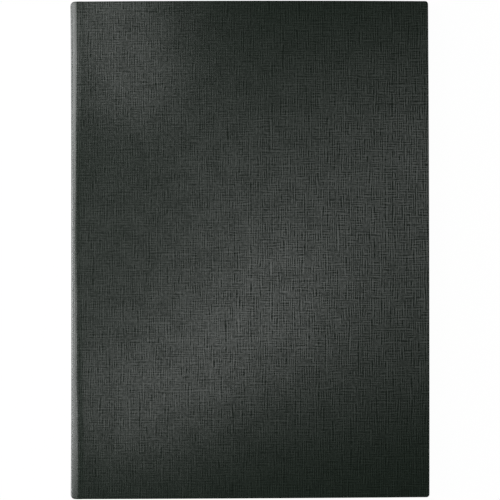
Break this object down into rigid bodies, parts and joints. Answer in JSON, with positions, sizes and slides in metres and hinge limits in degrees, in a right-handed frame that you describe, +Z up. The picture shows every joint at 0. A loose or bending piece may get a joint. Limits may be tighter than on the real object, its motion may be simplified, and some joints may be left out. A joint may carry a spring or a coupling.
{
  "type": "menu folder",
  "caption": "Closed menu folder with linen-embossed dark cloth boards on a soft hinged spine and clear pocket leaves bound inside for printed sheets.",
  "frame": {"origin": "centre of the closed folder's outline, on the outer face of the back cover", "axes": "+X from the spine to the fore-edge, +Y from tail to head, +Z up through the closed folder"},
  "size_m": [0.2304, 0.32, 0.012],
  "materials": {
    "cover_cloth": "coated bookcloth, near-black, embossed with a linen grain, satin",
    "lining_paper": "black lining paper, matt",
    "grey_board": "raw grey board",
    "infill_card": "raw card",
    "clear_film": "clear soft film, glossy",
    "weld_seam": "welded film, finely ribbed",
    "binding_strip": "black soft plastic, matt",
    "binding_tape": "black woven binding tape"
  },
  "bodies": {
    "back_cover": {"back_board": "grey_board", "back_cloth": "cover_cloth", "back_infill": "infill_card", "back_lining": "lining_paper", "binding_tape": "binding_tape", "leaf_1_strip": "binding_strip", "leaf_2_strip": "binding_strip", "leaf_3_strip": "binding_strip", "leaf_4_strip": "binding_strip", "leaf_5_strip": "binding_strip"},
    "spine": {"spine_strip": "grey_board", "spine_cloth": "cover_cloth", "spine_lining": "lining_paper", "back_hinge_cloth": "cover_cloth", "back_hinge_lining": "lining_paper", "front_hinge_cloth": "cover_cloth", "front_hinge_lining": "lining_paper"},
    "front_cover": {"front_board": "grey_board", "front_cloth": "cover_cloth", "front_infill": "infill_card", "front_lining": "lining_paper"},
    "leaf_1": {"leaf_1_front_film": "clear_film", "leaf_1_back_film": "clear_film", "leaf_1_weld": "weld_seam"},
    "leaf_2": {"leaf_2_front_film": "clear_film", "leaf_2_back_film": "clear_film", "leaf_2_weld": "weld_seam"},
    "leaf_3": {"leaf_3_front_film": "clear_film", "leaf_3_back_film": "clear_film", "leaf_3_weld": "weld_seam"},
    "leaf_4": {"leaf_4_front_film": "clear_film", "leaf_4_back_film": "clear_film", "leaf_4_weld": "weld_seam"},
    "leaf_5": {"leaf_5_front_film": "clear_film", "leaf_5_back_film": "clear_film", "leaf_5_weld": "weld_seam"}
  },
  "joints": [
    {"name": "spine_hinge", "type": "hinge", "parent": "back_cover", "child": "spine", "pos_m": [-0.11434, 0, 0.00091], "axis": [0, -1, 0], "range_deg": [0, 90], "deforming": ["back_hinge_cloth", "back_hinge_lining"]},
    {"name": "front_hinge", "type": "hinge", "parent": "spine", "child": "front_cover", "pos_m": [-0.11434, 0, 0.01109], "axis": [0, -1, 0], "range_deg": [0, 90], "deforming": ["front_hinge_cloth", "front_hinge_lining"]},
    {"name": "leaf_1_turn", "type": "hinge", "parent": "back_cover", "child": "leaf_1", "pos_m": [-0.10185, 0, 0.0086], "axis": [0, -1, 0], "range_deg": [0, 178.75]},
    {"name": "leaf_2_turn", "type": "hinge", "parent": "back_cover", "child": "leaf_2", "pos_m": [-0.10185, 0, 0.0086], "axis": [0, -1, 0], "range_deg": [0, 176.05]},
    {"name": "leaf_3_turn", "type": "hinge", "parent": "back_cover", "child": "leaf_3", "pos_m": [-0.10185, 0, 0.0086], "axis": [0, -1, 0], "range_deg": [0, 173.35]},
    {"name": "leaf_4_turn", "type": "hinge", "parent": "back_cover", "child": "leaf_4", "pos_m": [-0.10185, 0, 0.0086], "axis": [0, -1, 0], "range_deg": [0, 170.65]},
    {"name": "leaf_5_turn", "type": "hinge", "parent": "back_cover", "child": "leaf_5", "pos_m": [-0.10185, 0, 0.0086], "axis": [0, -1, 0], "range_deg": [0, 167.95]}
  ],
  "couplings": [
    {"joint": "front_hinge", "follows": "spine_hinge", "ratio": 1},
    {"joint": "leaf_1_turn", "follows": "spine_hinge", "ratio": 1.985},
    {"joint": "leaf_2_turn", "follows": "spine_hinge", "ratio": 1.955},
    {"joint": "leaf_3_turn", "follows": "spine_hinge", "ratio": 1.925},
    {"joint": "leaf_4_turn", "follows": "spine_hinge", "ratio": 1.895},
    {"joint": "leaf_5_turn", "follows": "spine_hinge", "ratio": 1.865}
  ]
}
